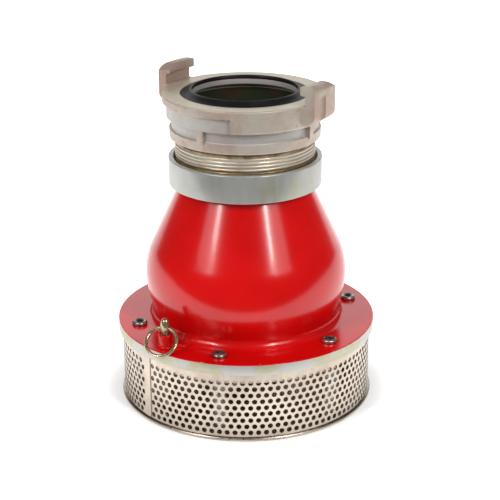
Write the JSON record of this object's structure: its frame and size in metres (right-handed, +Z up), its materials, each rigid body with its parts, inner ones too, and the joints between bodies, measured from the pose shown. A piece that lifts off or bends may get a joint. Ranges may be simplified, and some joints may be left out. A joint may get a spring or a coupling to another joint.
{
  "type": "foot valve",
  "caption": "Suction foot valve: claw coupling on a bell housing, lift valve with pull-ring lever, and a perforated strainer basket.",
  "frame": {"origin": "centre of the strainer's underside, where the valve stands", "axes": "+Z up along the waterway towards the coupling's face, -Y the front, with the pull ring at the front left"},
  "size_m": [0.24, 0.24, 0.3067],
  "materials": {
    "red_enamel": "gloss red enamel",
    "zinc_plate": "machined, dull zinc plate",
    "cast_aluminium": "as-cast and machined, weathered",
    "stainless_sheet": "thin rolled stainless sheet",
    "brass": "polished, lightly tarnished",
    "steel": "plain zinc-plated steel",
    "black_rubber": "matt moulded rubber"
  },
  "bodies": {
    "root": {"base_screw_1": "steel", "base_screw_2": "steel", "base_screw_3": "steel", "base_screw_4": "steel", "base_screw_5": "steel", "base_screw_6": "steel", "bell_body": "red_enamel", "coupling_head": "cast_aluminium", "coupling_seal": "black_rubber", "flange_gasket": "black_rubber", "flange_plate": "red_enamel", "flange_screw_1": "steel", "flange_screw_2": "steel", "flange_screw_3": "steel", "flange_screw_4": "steel", "flange_screw_5": "steel", "flange_screw_6": "steel", "guide_bush": "brass", "lever_bracket": "steel", "lever_pin": "steel", "rod_boss": "red_enamel", "rod_bush": "brass", "seat_plate": "cast_aluminium", "spigot_gasket": "black_rubber", "strainer_band": "stainless_sheet", "strainer_base": "stainless_sheet", "strainer_pillar_1": "steel", "strainer_pillar_2": "steel", "strainer_pillar_3": "steel", "strainer_pillar_4": "steel", "strainer_pillar_5": "steel", "strainer_pillar_6": "steel", "threaded_collar": "zinc_plate"},
    "valve": {"valve_disc": "cast_aluminium", "disc_seal": "black_rubber", "seal_clamp": "steel", "spindle": "steel", "spindle_nut": "steel", "stop_nut": "steel"},
    "lever": {"drain_lever": "steel"},
    "rod": {"pull_rod": "brass", "rod_nut": "brass"},
    "ring": {"pull_ring": "brass"}
  },
  "joints": [
    {"name": "valve_lift", "type": "slide", "parent": "root", "child": "valve", "axis": [0, 0, 1], "range_m": [0, 0.018]},
    {"name": "lever_pivot", "type": "hinge", "parent": "root", "child": "lever", "pos_m": [0.07026, 0.07668, 0.0135], "axis": [-0.7373, 0.6756, 0], "range_deg": [0, 9.97]},
    {"name": "rod_slide", "type": "slide", "parent": "root", "child": "rod", "axis": [0, 0, 1], "range_m": [0, 0.03653]},
    {"name": "ring_swing", "type": "hinge", "parent": "rod", "child": "ring", "pos_m": [-0.07195, -0.07852, 0.0935], "axis": [-0.9537, 0.3007, 0], "range_deg": [0, 125]}
  ],
  "couplings": [
    {"joint": "lever_pivot", "follows": "valve_lift", "rad_per_m": 9.6154},
    {"joint": "rod_slide", "follows": "valve_lift", "ratio": 2.024}
  ]
}
